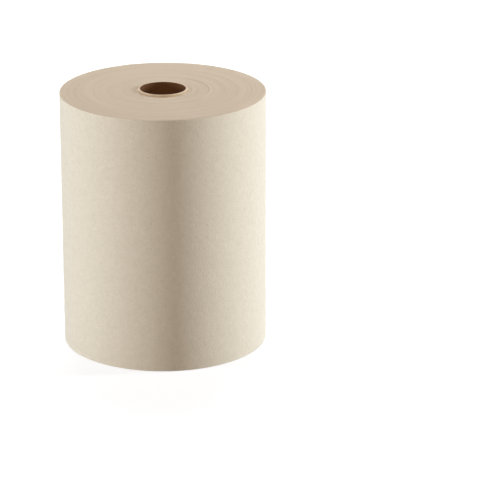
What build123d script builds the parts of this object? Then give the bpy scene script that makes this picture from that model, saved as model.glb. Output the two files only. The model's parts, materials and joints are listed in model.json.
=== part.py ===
from build123d import *
from math import cos, degrees, radians, sin
import os

# Hardwound roll of natural brown paper towel on an open cardboard core.
# It stands on its end: +Z runs up the core, -Y faces the viewer, and the origin
# is the middle of the foot. Lengths are in millimetres and angles in degrees.

# Core tube, spirally wound from board
core_bore_diameter = 44.45
core_wall = 1.8
core_length = 254.0
core_shift = 2.0
core_edge_break = 0.25

# Towel web, one long sheet wound tight on the core
web_width = 254.0
roll_diameter = 201.0
sheet_caliper = 0.2
rim_bevel_width = 1.2
rim_bevel_drop = 0.5

# Free end of the sheet, past its line of glue on the side away from the viewer
tail_direction = 118.0
tail_length = 15.0
tail_lift_angle = 3.5

# Side wander of the sheet as it was wound, the same at both ends of the roll
wander_lift = 0.6

# Overrun of the shapes that trim the roll
overrun = 5.0

# Bundles of turns from the core out to the rim: where each one ends, as a share
# of the wound depth, and how far up it lies, as a share of the wander's lift
bundle_shares = [
    (0.020, 0.00),
    (0.045, 0.25),
    (0.080, 0.60),
    (0.120, 0.50),
    (0.175, 0.60),
    (0.270, 0.45),
    (0.300, 1.00),
    (0.380, 0.50),
    (0.470, 0.30),
    (0.560, 0.45),
    (0.650, 0.25),
    (0.730, 0.40),
    (0.820, 0.20),
    (0.905, 0.45),
    (0.945, 0.20),
    (1.000, 0.00),
]

# Sizes that follow from those above
core_bore_radius = core_bore_diameter / 2
core_outer_radius = core_bore_radius + core_wall
roll_radius = roll_diameter / 2
wound_depth = roll_radius - core_outer_radius
web_top = web_width + wander_lift


def wandered_edge():
    """Radius and lift along one edge of the wound sheet, from the core to the rim."""
    edge = []
    radius = core_outer_radius
    for end_share, lift_share in bundle_shares:
        lift = wander_lift * lift_share
        edge.append((radius, lift))
        radius = core_outer_radius + wound_depth * end_share
        edge.append((radius, lift))
    return edge


os.makedirs("parts", exist_ok=True)

# Core tube: an open tube whose sawn ends are eased by handling. It has slid a
# little way up in the roll, so it stands proud of the head and back from the foot.
with BuildPart() as core_tube:
    with BuildSketch(Plane.XY.offset(core_shift)):
        Circle(core_outer_radius)
        Circle(core_bore_radius, mode=Mode.SUBTRACT)
    extrude(amount=core_length)
    chamfer(core_tube.edges().filter_by(GeomType.CIRCLE), core_edge_break)
core_tube.part.label = "core_tube"
export_step(core_tube.part, "parts/core_tube.step")

# Towel web: the wound sheet as one solid
with BuildPart() as towel_web:
    # Seen from above, the last turn grows by one caliper over two half circles,
    # and the free tail leaves the roll at a tangent tilted out by its lift
    quarter_caliper = sheet_caliper / 4
    inner_radius = roll_radius - sheet_caliper
    tail_sweep = degrees(tail_length / roll_radius)
    tail_heading = (sin(radians(tail_lift_angle)), -cos(radians(tail_lift_angle)))
    with BuildSketch(Plane.XY.offset(-overrun).rotated((0, 0, tail_direction))):
        with BuildLine():
            first_half = CenterArc((quarter_caliper, 0), roll_radius - quarter_caliper, 0, 180)
            last_half = CenterArc((-quarter_caliper, 0), inner_radius + quarter_caliper, 180, 180)
            tail_back = JernArc(last_half @ 1, tail_heading, inner_radius, -tail_sweep)
            tail_face = JernArc(first_half @ 0, tail_heading, roll_radius, -tail_sweep)
            Line(tail_back @ 1, tail_face @ 1)
        make_face()
    extrude(amount=web_top + 2 * overrun)

    # Half section of the roll: the same wandered edge at its foot and its head,
    # and a rim that is pressed back from both
    *edge, (_, rim_lift) = wandered_edge()
    trim_radius = roll_radius + overrun
    trim_drop = rim_bevel_drop * (1 + overrun / rim_bevel_width)
    edge.append((roll_radius - rim_bevel_width, rim_lift))
    foot = edge + [(trim_radius, rim_lift + trim_drop)]
    head = [(radius, web_width + lift) for radius, lift in edge]
    head.append((trim_radius, web_width + rim_lift - trim_drop))
    with BuildSketch(Plane.XZ):
        with BuildLine():
            Polyline(*foot, *reversed(head), close=True)
        make_face()
    revolve(axis=Axis.Z, mode=Mode.INTERSECT)
towel_web.part.label = "towel_web"
export_step(towel_web.part, "parts/towel_web.step")
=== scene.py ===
import json
import math
import random

import bmesh
import bpy
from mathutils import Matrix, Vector, noise


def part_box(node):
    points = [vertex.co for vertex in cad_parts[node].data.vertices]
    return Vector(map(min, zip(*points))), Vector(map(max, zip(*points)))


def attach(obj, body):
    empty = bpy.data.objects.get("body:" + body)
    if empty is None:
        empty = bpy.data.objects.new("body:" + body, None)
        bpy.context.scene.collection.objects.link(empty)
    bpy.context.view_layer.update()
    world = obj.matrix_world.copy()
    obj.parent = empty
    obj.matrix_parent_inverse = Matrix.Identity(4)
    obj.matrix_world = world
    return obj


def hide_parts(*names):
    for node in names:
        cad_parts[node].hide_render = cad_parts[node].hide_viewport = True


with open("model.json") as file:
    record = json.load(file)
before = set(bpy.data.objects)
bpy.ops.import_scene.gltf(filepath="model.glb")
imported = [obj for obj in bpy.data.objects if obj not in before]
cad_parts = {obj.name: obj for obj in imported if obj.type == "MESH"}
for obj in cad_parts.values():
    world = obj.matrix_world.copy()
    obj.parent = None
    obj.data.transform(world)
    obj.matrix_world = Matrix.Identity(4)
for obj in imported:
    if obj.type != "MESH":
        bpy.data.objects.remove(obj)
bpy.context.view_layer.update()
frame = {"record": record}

scene = bpy.context.scene
scene.view_settings.view_transform = "Standard"
mm = 0.001

# Camera: a long lens, level from side to side and tipped down a little, with the
# roll to the left of the picture's middle. Its place is measured from the centre
# of the roll's head, in roll radii: to the right, down, and back.
roll_radius = 100.5 * mm
web_width = 254 * mm
lens_pitch = math.radians(19.62)
lens_aside = 0.8420
lens_below = 1.5434
lens_behind = 26.35
camera_data = bpy.data.cameras.new("studio_camera")
camera_data.sensor_width = 36
camera_data.lens = 196.4
camera_data.clip_end = 50
camera = bpy.data.objects.new("studio_camera", camera_data)
scene.collection.objects.link(camera)
scene.camera = camera

lens_right = Vector((1, 0, 0))
lens_up = Vector((0, math.sin(lens_pitch), math.cos(lens_pitch)))
lens_back = lens_right.cross(lens_up)
head_centre = Vector((0, 0, web_width))
camera.location = head_centre + roll_radius * (
    lens_aside * lens_right - lens_below * lens_up + lens_behind * lens_back
)
camera.rotation_euler = (math.pi / 2 - lens_pitch, 0, 0)

# Core tube: brown board wound on a helix in plies, glued, and sawn to length. The
# edges of the inner ply butt in a fine seam that climbs the bore, and the outer
# ply is a paler liner, while the inner ply's deep brown is partly painted shade in
# the bore. It has slid up a little, proud of the roll's head.
core_low, core_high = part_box("core_tube")
core_outer_radius = core_high.x
bore_radius = frame["record"]["mounts"][0]["dims"]["r_mm"] * mm
wall_middle = (bore_radius + core_outer_radius) / 2
edge_break = 0.25 * mm
ply_lead = 140 * mm
liner_seam_height = ply_lead / 3
seam_half_width = 0.35 * mm
seam_depth = 0.25 * mm
core_segments = 96
weld_reach = 0.01 * mm
same_place = 0.001 * mm
sharp_angle = math.radians(35)


def linear(hex_colour):
    """The linear colour of an sRGB hex value, with an alpha of 1."""
    levels = [int(hex_colour[i:i + 2], 16) / 255 for i in (0, 2, 4)]
    return [c / 12.92 if c <= 0.04045 else ((c + 0.055) / 1.055) ** 2.4 for c in levels] + [1]


def add_node(tree, kind, settings=None, **inputs):
    """Adds a node with its settings. An input is a value or another node's output,
    and it is given by the socket's name or, as in _2, by its number."""
    node = tree.nodes.new("ShaderNode" + kind)
    for name, value in (settings or {}).items():
        setattr(node, name, value)
    for name, value in inputs.items():
        socket = node.inputs[int(name[1:]) if name[1:].isdigit() else name.replace("_", " ")]
        if isinstance(value, bpy.types.NodeSocket):
            tree.links.new(value, socket)
        else:
            socket.default_value = value
    return node


def paper_finish(name):
    """A material with the soft shine of unsized paper, its node tree and its shader."""
    material = bpy.data.materials.new(name)
    material.use_nodes = True
    shader = material.node_tree.nodes["Principled BSDF"]
    shader.inputs["Roughness"].default_value = 0.9
    shader.inputs["IOR"].default_value = 1.47
    return material, material.node_tree, shader


def two_tones(tree, amount, low, high, dark, pale):
    """Turns an amount, between its low and its high, into a colour from dark to pale."""
    tone = add_node(tree, "ValToRGB", Fac=amount)
    for stop, place, colour in zip(tone.color_ramp.elements, (low, high), (dark, pale)):
        stop.position = place
        stop.color = linear(colour)
    return tone.outputs["Color"]


def board_finish(name, dark, pale, grain_width):
    """Board: two close browns in a grain of fibre, raised a little where it is pale."""
    material, tree, shader = paper_finish(name)
    grain_relief = grain_width / 12
    place = add_node(tree, "TexCoord").outputs["Object"]
    grain = add_node(
        tree, "TexNoise", Vector=place, Scale=1 / grain_width, Detail=4, Roughness=0.6
    ).outputs["Fac"]
    lump = add_node(tree, "Bump", Height=grain, Strength=0.5, Distance=grain_relief)
    tree.links.new(two_tones(tree, grain, 0.35, 0.65, dark, pale), shader.inputs["Base Color"])
    tree.links.new(lump.outputs["Normal"], shader.inputs["Normal"])
    return material


def radius_of(vert):
    """How far a point lies from the middle of the core."""
    return math.hypot(vert.co.x, vert.co.y)


def finish_piece(name, shell, materials):
    """Makes a bmesh into an object that rides on the roll, smooth but for its sharp edges."""
    bmesh.ops.recalc_face_normals(shell, faces=shell.faces)
    for face in shell.faces:
        face.smooth = True
    for edge in shell.edges:
        edge.smooth = len(edge.link_faces) == 2 and edge.calc_face_angle() < sharp_angle
    mesh = bpy.data.meshes.new(name)
    shell.to_mesh(mesh)
    shell.free()
    for material in materials:
        mesh.materials.append(material)
    piece = bpy.data.objects.new(name, mesh)
    scene.collection.objects.link(piece)
    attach(piece, "root")
    return piece


# Kraft board in the bore is unbleached and matt, its brown deepened past the
# board's own colour as painted shade in the bore. The liner round the tube is a
# paler board, and the saw leaves a paler fuzz. The grain of fibre is drawn
# coarser than the real one, so that it shows.
board_grain = 1.2 * mm
sawn_grain = 0.6 * mm
kraft_and_painted_shade = board_finish("kraft_and_painted_shade", "583619", "6B4826", board_grain)
liner_board = board_finish("liner_board", "BDA88E", "CBB89F", board_grain)
sawn_board = board_finish("sawn_board", "D3C2AA", "E2D3BE", sawn_grain)


def wind_ply(shell, radius, inward, seam_height):
    """One face of the tube: a strip as wide as its lead, wound upwards, edge to edge."""
    turns = math.ceil((core_high.z - core_low.z) / ply_lead) + 2
    strip = (
        (0, seam_depth),
        (seam_half_width, 0),
        (ply_lead - seam_half_width, 0),
        (ply_lead, seam_depth),
    )
    start = core_low.z - ply_lead - seam_height
    verts = [shell.verts.new((radius + inward * dip, 0, start + rise)) for rise, dip in strip]
    edges = [shell.edges.new(pair) for pair in zip(verts, verts[1:])]
    bmesh.ops.spin(
        shell, geom=verts + edges, cent=(0, 0, 0), axis=(0, 0, 1),
        dvec=(0, 0, ply_lead / core_segments), angle=math.tau * turns,
        steps=core_segments * turns, use_merge=False, use_duplicate=False,
    )


# Both faces of the tube are wound, then sawn off, eased and closed at each end.
tube = bmesh.new()
wind_ply(tube, bore_radius, 1, 0)
wind_ply(tube, core_outer_radius, -1, liner_seam_height)
bmesh.ops.remove_doubles(tube, verts=tube.verts, dist=weld_reach)
saw_cuts = []
for level, rise in ((core_low.z, edge_break), (core_high.z, -edge_break)):
    bmesh.ops.bisect_plane(
        tube, geom=tube.verts[:] + tube.edges[:] + tube.faces[:], dist=same_place,
        plane_co=(0, 0, level + rise), plane_no=(0, 0, -rise / edge_break), clear_outer=True,
    )
    rims = [
        e for e in tube.edges
        if e.is_boundary and all(abs(v.co.z - level - rise) < same_place for v in e.verts)
    ]
    eased = bmesh.ops.extrude_edge_only(tube, edges=rims)["geom"]
    for vert in (part for part in eased if isinstance(part, bmesh.types.BMVert)):
        ease = edge_break if radius_of(vert) < wall_middle else -edge_break
        vert.co.xy *= 1 + ease / radius_of(vert)
        vert.co.z = level
    loops = [
        part for part in eased if isinstance(part, bmesh.types.BMEdge) and part.is_boundary
    ]
    filled = bmesh.ops.triangle_fill(tube, edges=loops, use_beauty=True)["geom"]
    saw_cuts += [part for part in filled if isinstance(part, bmesh.types.BMFace)]
for face in tube.faces:
    face.material_index = 1 if min(radius_of(v) for v in face.verts) > wall_middle else 0
for face in saw_cuts:
    face.material_index = 2
core_boards = [kraft_and_painted_shade, liner_board, sawn_board]
wound_core = finish_piece("wound_core", tube, core_boards)
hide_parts("core_tube")

# Wound towel: some six hundred turns of one soft brown sheet, pulled tight. Its
# ends are the sheet's slit edges, in bundles that wandered a little to the side
# as they were wound, with fine ribs where the winding tension changed.
web_low, web_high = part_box("towel_web")
sheet_caliper = 0.2 * mm
wander_lift = web_high.z - web_low.z - web_width
rim_bevel_width = 1.2 * mm
rim_bevel_drop = 0.5 * mm
rib_pitch = 0.95 * mm
rib_relief = 0.04 * mm
valley_depth = (0.3, 1)
crest_depth = (0, 0.3)
winding_seed = 7
end_ripple = 0.05 * mm
ripple_length = 25 * mm
web_segments = 216
body_radius = roll_radius - 2 * sheet_caliper

# Bundles of turns from the core out to the rim: where each one ends, as a share
# of the wound depth, and how far up it lies, as a share of the wander's lift.
bundle_shares = [
    (0.020, 0.00),
    (0.045, 0.25),
    (0.080, 0.60),
    (0.120, 0.50),
    (0.175, 0.60),
    (0.270, 0.45),
    (0.300, 1.00),
    (0.380, 0.50),
    (0.470, 0.30),
    (0.560, 0.45),
    (0.650, 0.25),
    (0.730, 0.40),
    (0.820, 0.20),
    (0.905, 0.45),
    (0.945, 0.20),
    (1.000, 0.00),
]

# Slit paper is the sheet seen end on: the same fibre, a shade deeper because
# light sinks in between the turns, in rings that no one circle carries all round.
# The finest rings are drawn a few turns wide, so that they show.
ring_sets = (
    # Width, drift round the roll, and share of the tone
    (0.5 * mm, 1.2, 0.5),
    (2.6 * mm, 0.6, 0.25),
    (9 * mm, 0.3, 0.25),
)
ring_relief = 0.1 * mm
slit_paper, slit_tree, slit_shader = paper_finish("slit_paper")
place = add_node(slit_tree, "TexCoord").outputs["Object"]
across = add_node(
    slit_tree, "VectorMath", {"operation": "MULTIPLY"}, _0=place, _1=(1, 1, 0)
).outputs[0]
outward = add_node(slit_tree, "VectorMath", {"operation": "LENGTH"}, _0=across).outputs["Value"]
heading = add_node(slit_tree, "VectorMath", {"operation": "NORMALIZE"}, _0=across).outputs[0]
rings = 0
for ring_width, drift, share in ring_sets:
    turn = add_node(
        slit_tree, "Math", {"operation": "DIVIDE"}, _0=outward, _1=ring_width
    ).outputs[0]
    spot = add_node(slit_tree, "CombineXYZ", Z=turn).outputs[0]
    spot = add_node(
        slit_tree, "VectorMath", {"operation": "MULTIPLY_ADD"},
        _0=heading, _1=(drift, drift, 0), _2=spot,
    ).outputs[0]
    ring = add_node(slit_tree, "TexNoise", Vector=spot, Scale=1, Detail=2).outputs["Fac"]
    rings = add_node(
        slit_tree, "Math", {"operation": "MULTIPLY_ADD"}, _0=ring, _1=share, _2=rings
    ).outputs[0]
ring_tone = two_tones(slit_tree, rings, 0.35, 0.65, "C4B5A1", "D0C1AD")
lump = add_node(slit_tree, "Bump", Height=rings, Strength=0.5, Distance=ring_relief)
slit_tree.links.new(ring_tone, slit_shader.inputs["Base Color"])
slit_tree.links.new(lump.outputs["Normal"], slit_shader.inputs["Normal"])


def slit_edge(dice):
    """Radius, lift and dip along one end: the bundles' steps, with ribs pressed into them."""
    line = []
    start = core_outer_radius
    for end_share, lift_share in bundle_shares:
        stop = core_outer_radius + (body_radius - core_outer_radius) * end_share
        if end_share == 1:
            stop -= rim_bevel_width
        lift = wander_lift * lift_share
        half_ribs = 2 * max(1, round((stop - start) / rib_pitch))
        for step in range(1 if line else 0, half_ribs + 1):
            deep = dice.uniform(*(valley_depth if step % 2 == 0 else crest_depth))
            dip = rib_relief * deep if 0 < step < half_ribs else 0
            line.append((start + (stop - start) * step / half_ribs, lift, dip))
        start = stop
    return line


# The roll's half section is spun round the core, and its ends then ripple a little.
dice = random.Random(winding_seed)
head = [(r, web_width + lift - dip) for r, lift, dip in slit_edge(dice)]
foot = [(r, lift + dip) for r, lift, dip in slit_edge(dice)]
rim = [(body_radius, rim_bevel_drop), (body_radius, web_width - rim_bevel_drop)]
body = bmesh.new()
outline = [body.verts.new((r, 0, z)) for r, z in foot + rim + head[::-1]]
edges = [body.edges.new(pair) for pair in zip(outline, outline[1:] + outline[:1])]
bmesh.ops.spin(
    body, geom=outline + edges, cent=(0, 0, 0), axis=(0, 0, 1), dvec=(0, 0, 0),
    angle=math.tau, steps=web_segments, use_merge=True, use_duplicate=False,
)
ripple_start = core_outer_radius + rib_pitch
ripple_end = body_radius - rim_bevel_width - same_place
for vert in body.verts:
    if ripple_start < radius_of(vert) < ripple_end:
        ripple = noise.noise(vert.co / ripple_length) * end_ripple
        vert.co.z = max(0, vert.co.z + ripple)
wound_towel = finish_piece("wound_towel", body, [slit_paper])
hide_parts("towel_web")

# Last turn: the outside of the sheet, once round the roll, with its cut end left
# free past a line of glue at the back. The paper is creped, with fine wrinkles
# across its travel, and lightly embossed.
tail_direction = math.radians(118)
tail_length = 15 * mm
tail_lift = 0.9 * mm
tail_curl = 1.5
tail_wave = 40 * mm
tail_unevenness = 0.5
sheet_ripple = 0.12 * mm
ripples_per_radius = 3
sheet_columns = 250
sheet_rows = 48
turn_length = math.tau * roll_radius
flat_length = tail_length + turn_length
sheet_height = web_width - 2 * rim_bevel_drop

# Brown towel paper: unbleached, recycled fibre, so a soft warm grey-brown with
# cloudy tone, short fibres and a few dark specks, and next to no shine. Fibres
# and specks are drawn coarser than the real ones, so that they show.
cloud_width = 5 * mm
cloud_relief = 0.12 * mm
fibre_width = 1.1 * mm
fibre_relief = 0.15 * mm
fibre_share = 0.75
speck_spacing = 1.6 * mm
crepe_pitch = 1.3 * mm
crepe_length = 4 * crepe_pitch
crepe_relief = 0.14 * mm
emboss_pitch = 2.2 * mm
emboss_pitch_along = 0.9 * emboss_pitch
emboss_relief = 0.055 * mm
towel_paper, towel_tree, towel_shader = paper_finish("creped_towel")
place = add_node(towel_tree, "TexCoord").outputs
cloud = add_node(
    towel_tree, "TexNoise", Vector=place["Object"], Scale=1 / cloud_width, Detail=2
).outputs["Fac"]
fibre = add_node(
    towel_tree, "TexNoise",
    Vector=place["Object"], Scale=1 / fibre_width, Detail=3, Roughness=0.7,
).outputs["Fac"]
speck = add_node(
    towel_tree, "TexNoise", Vector=place["Object"], Scale=1 / speck_spacing, Detail=1
).outputs["Fac"]
blend = add_node(
    towel_tree, "Mix", {"data_type": "FLOAT"}, Factor=fibre_share, _2=cloud, _3=fibre
).outputs[0]
paper_tone = add_node(
    towel_tree, "Mix", {"data_type": "RGBA", "blend_type": "MULTIPLY"}, Factor=1.0,
    _6=two_tones(towel_tree, blend, 0.36, 0.64, "CCC7B9", "DBD6C8"),
    _7=two_tones(towel_tree, speck, 0.20, 0.27, "DDD2C4", "FFFFFF"),
).outputs["Result"]

along, upward = add_node(towel_tree, "SeparateXYZ", Vector=place["UV"]).outputs[:2]
emboss = 1
for distance, pitch in ((along, emboss_pitch_along), (upward, emboss_pitch)):
    phase = add_node(
        towel_tree, "Math", {"operation": "MULTIPLY"}, _0=distance, _1=math.tau / pitch
    ).outputs[0]
    wave = add_node(towel_tree, "Math", {"operation": "SINE"}, _0=phase).outputs[0]
    emboss = add_node(
        towel_tree, "Math", {"operation": "MULTIPLY"}, _0=wave, _1=emboss
    ).outputs[0]
wrinkle = add_node(
    towel_tree, "VectorMath", {"operation": "MULTIPLY"},
    _0=place["UV"], _1=(1 / crepe_pitch, 1 / crepe_length, 0),
).outputs[0]
crepe = add_node(towel_tree, "TexNoise", Vector=wrinkle, Scale=1, Detail=2).outputs["Fac"]
reliefs = (
    (emboss, emboss_relief),
    (crepe, crepe_relief),
    (fibre, fibre_relief),
    (cloud, cloud_relief),
)
lump = None
for height, relief in reliefs:
    under = {"Normal": lump.outputs["Normal"]} if lump else {}
    lump = add_node(towel_tree, "Bump", Height=height, Strength=1.0, Distance=relief, **under)
towel_tree.links.new(paper_tone, towel_shader.inputs["Base Color"])
towel_tree.links.new(lump.outputs["Normal"], towel_shader.inputs["Normal"])

# The sheet is laid out flat and mapped in its own metres, so that its crepe and
# its emboss follow it, and is then wound once round the roll.
sheet = bmesh.new()
bmesh.ops.create_grid(
    sheet, x_segments=sheet_columns, y_segments=sheet_rows, size=0.5, calc_uvs=True
)
for vert in sheet.verts:
    vert.co.x = (vert.co.x + 0.5) * flat_length
    vert.co.y = (vert.co.y + 0.5) * sheet_height
metres = sheet.loops.layers.uv.verify()
for face in sheet.faces:
    for loop in face.loops:
        loop[metres].uv = loop.vert.co.xy
for vert in sheet.verts:
    run, up = vert.co.x - tail_length, vert.co.y
    if run < 0:
        wavy = 1 + tail_unevenness * noise.noise(Vector((0, 0, up / tail_wave)))
        radius = roll_radius + tail_lift * wavy * (-run / tail_length) ** tail_curl
    else:
        radius = roll_radius - sheet_caliper * run / turn_length
    angle = tail_direction + run / roll_radius
    spot = Vector((math.cos(angle), math.sin(angle), up / roll_radius))
    settle = min(1, abs(run) / tail_length, (turn_length - run) / tail_length)
    hollow = 0.5 + 0.5 * noise.noise(spot * ripples_per_radius)
    radius -= sheet_ripple * hollow * max(0, settle)
    vert.co = Vector((spot.x * radius, spot.y * radius, rim_bevel_drop + up))
last_turn = finish_piece("last_turn", sheet, [towel_paper])
skin = last_turn.modifiers.new("caliper", "SOLIDIFY")
skin.thickness = sheet_caliper
skin.offset = -1

# Studio: a pale floor that fades into a white backdrop, a tall strip of light low
# at each side, a wide softbox high behind that lights the roll's head, a warm,
# weaker fill in front, and a faint one behind.
floor_half_width = 6
fade_start = 0.25
fade_end = 1.2
glow_at_foot = 0.77
ambient = (0.01, 0.01, 0.01, 1)
white = (1, 1, 1, 1)


def background_rays(tree):
    """One for the rays that show the background, straight, in a shine or through glass."""
    rays = add_node(tree, "LightPath").outputs
    seen = 0
    for kind in ("Is Camera Ray", "Is Glossy Ray", "Is Transmission Ray"):
        seen = add_node(
            tree, "Math", {"operation": "MAXIMUM"}, _0=seen, _1=rays[kind]
        ).outputs[0]
    return seen


floor_shell = bmesh.new()
bmesh.ops.create_grid(floor_shell, x_segments=1, y_segments=1, size=floor_half_width)
floor_mesh = bpy.data.meshes.new("studio_floor")
floor_shell.to_mesh(floor_mesh)
floor_shell.free()
floor = bpy.data.objects.new("studio_floor", floor_mesh)
scene.collection.objects.link(floor)
pale_floor, pale_tree, pale_shader = paper_finish("pale_floor")
pale_shader.inputs["Base Color"].default_value = linear("97999E")
place = add_node(pale_tree, "TexCoord").outputs["Object"]
away = add_node(pale_tree, "VectorMath", {"operation": "LENGTH"}, _0=place).outputs["Value"]
fade = add_node(
    pale_tree, "MapRange",
    Value=away, From_Min=fade_start, From_Max=fade_end, To_Min=glow_at_foot, To_Max=1.0,
).outputs["Result"]
glow = add_node(
    pale_tree, "Math", {"operation": "MULTIPLY"}, _0=background_rays(pale_tree), _1=fade
).outputs[0]
pale_tree.links.new(glow, pale_shader.inputs["Emission Strength"])
floor_mesh.materials.append(pale_floor)

world = bpy.data.worlds.new("studio_world")
scene.world = world
world.use_nodes = True
sky_tree = world.node_tree
sky = add_node(
    sky_tree, "Mix", {"data_type": "RGBA"},
    Factor=background_rays(sky_tree), _6=ambient, _7=white,
)
sky_tree.links.new(sky.outputs["Result"], sky_tree.nodes["Background"].inputs["Color"])


def softbox(name, bearing, elevation, distance, size, watts, colour="FFFFFF"):
    """A soft lamp aimed at the roll's middle, placed by degrees round from the viewer
    and degrees up. Its distance and its size are in metres."""
    lamp_data = bpy.data.lights.new(name, "AREA")
    lamp_data.shape = "RECTANGLE"
    lamp_data.size, lamp_data.size_y = size
    lamp_data.energy = watts
    lamp_data.color = linear(colour)[:3]
    lamp = bpy.data.objects.new(name, lamp_data)
    scene.collection.objects.link(lamp)
    turn, tilt = math.radians(bearing), math.radians(elevation)
    level = Vector((math.sin(turn), -math.cos(turn), 0))
    away = math.cos(tilt) * level + Vector((0, 0, math.sin(tilt)))
    lamp.location = head_centre / 2 + distance * away
    lamp.rotation_euler = away.to_track_quat("Z", "Y").to_euler()
    lamp.visible_camera = False


softbox("left_strip", bearing=-79, elevation=5.3, distance=2.4, size=(0.24, 0.8), watts=51)
softbox("right_strip", bearing=95, elevation=9.2, distance=2.4, size=(0.24, 0.8), watts=62.5)
softbox("high_softbox", bearing=180, elevation=60, distance=1.8, size=(0.9, 0.9), watts=21.5)
softbox(
    "front_fill", bearing=0, elevation=24, distance=4.0, size=(1.4, 1.4), watts=57,
    colour="FFE4C8",
)
softbox("back_fill", bearing=185, elevation=24, distance=2.4, size=(0.9, 0.9), watts=2)
